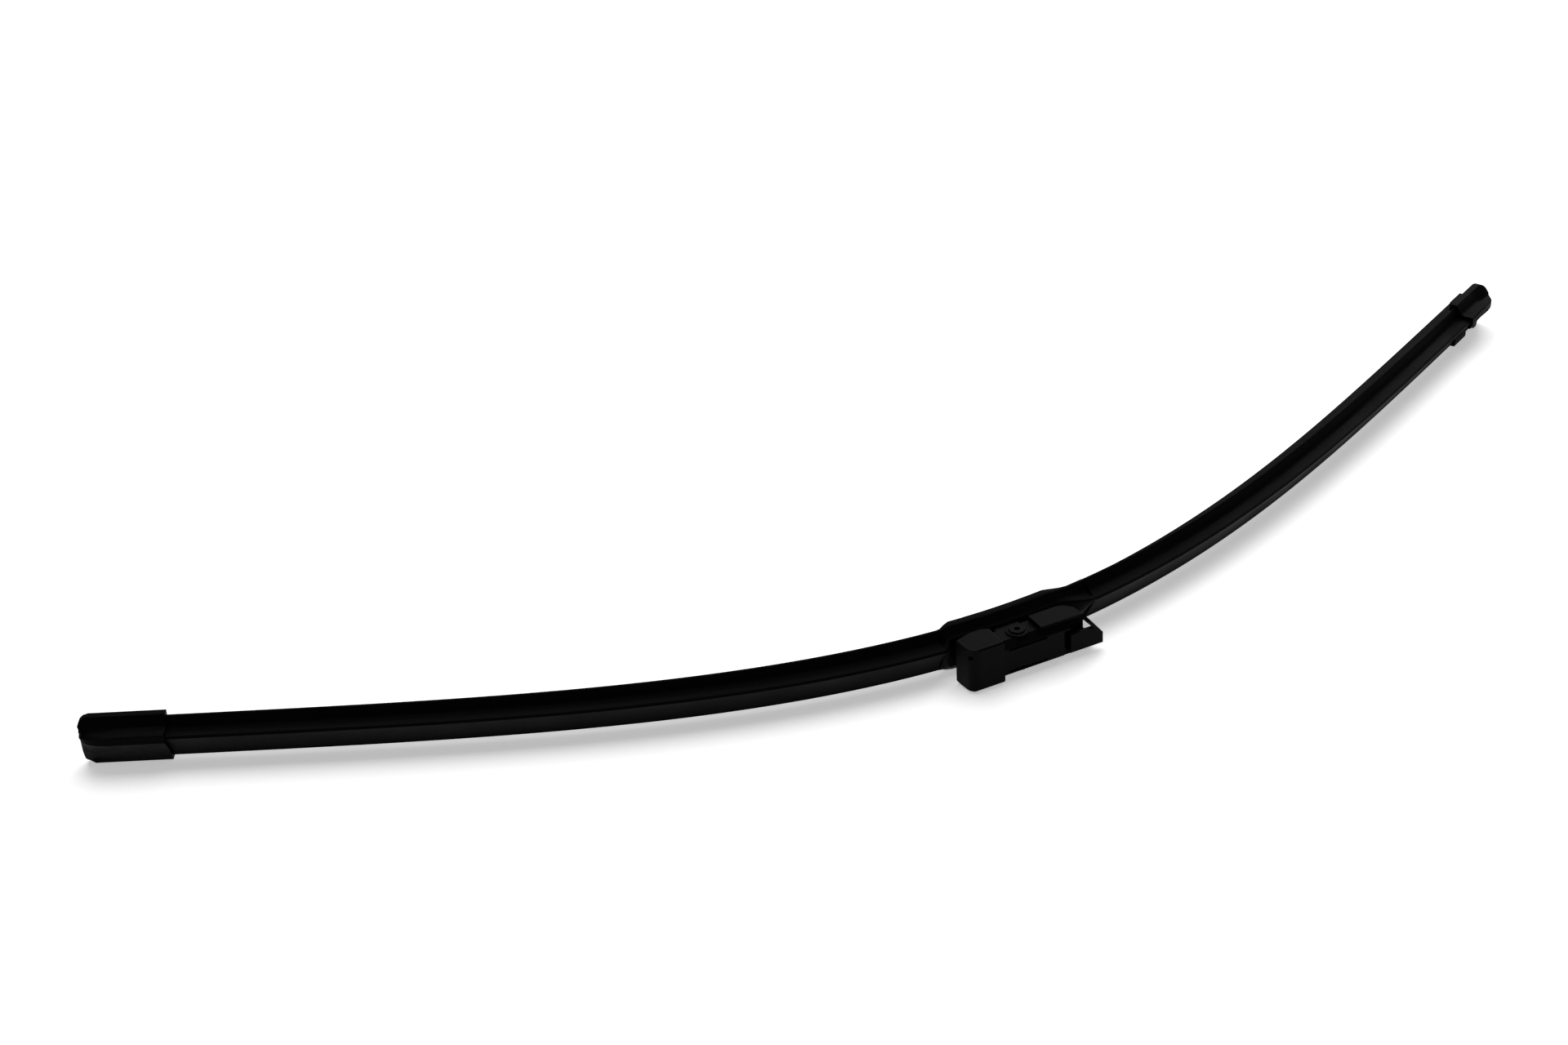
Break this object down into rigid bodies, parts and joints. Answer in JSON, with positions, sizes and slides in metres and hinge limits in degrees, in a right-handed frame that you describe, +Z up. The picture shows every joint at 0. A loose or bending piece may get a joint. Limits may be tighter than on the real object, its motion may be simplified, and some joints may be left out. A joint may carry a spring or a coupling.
{
  "type": "flat windscreen wiper blade",
  "caption": "Curved flat wiper blade with a full-length wind spoiler, rubber lip on twin steel rails, end caps and a rocking arm adapter on a rivet pivot.",
  "frame": {"origin": "middle of the pivot axis, which is also the middle of the adapter's arm channel", "axes": "X along the blade, Z up along the pivot axis, +Y from the pivot towards the glass; the blade lies on its windward side"},
  "size_m": [0.5686, 0.1264, 0.0178],
  "materials": {
    "wiping_rubber": "coated matt rubber",
    "spring_steel": "rolled spring steel",
    "spoiler": "satin extrusion",
    "caps": "fine grain",
    "plated_sheet": "zinc plated",
    "bracket": "black coating over pressed steel",
    "housing": "satin",
    "rivet": "black finish over steel",
    "washers": "smooth",
    "adapter": "fine satin"
  },
  "bodies": {
    "blade": {"wiping_rubber": "wiping_rubber", "rail_front": "spring_steel", "rail_rear": "spring_steel", "spoiler_left": "spoiler", "spoiler_right": "spoiler", "end_cap_left": "caps", "end_cap_right": "caps", "end_clip_left": "plated_sheet", "end_clip_right": "plated_sheet", "centre_bracket": "bracket", "centre_housing": "housing", "pivot_rivet": "rivet", "spacer_sleeve": "plated_sheet", "washer_upper": "washers", "washer_lower": "washers"},
    "adapter": {"adapter_body": "adapter"}
  },
  "joints": [
    {"name": "adapter_pivot", "type": "hinge", "parent": "blade", "child": "adapter", "pos_m": [0, 0, 0], "axis": [0, 0, 1], "range_deg": [-7, 7]}
  ]
}
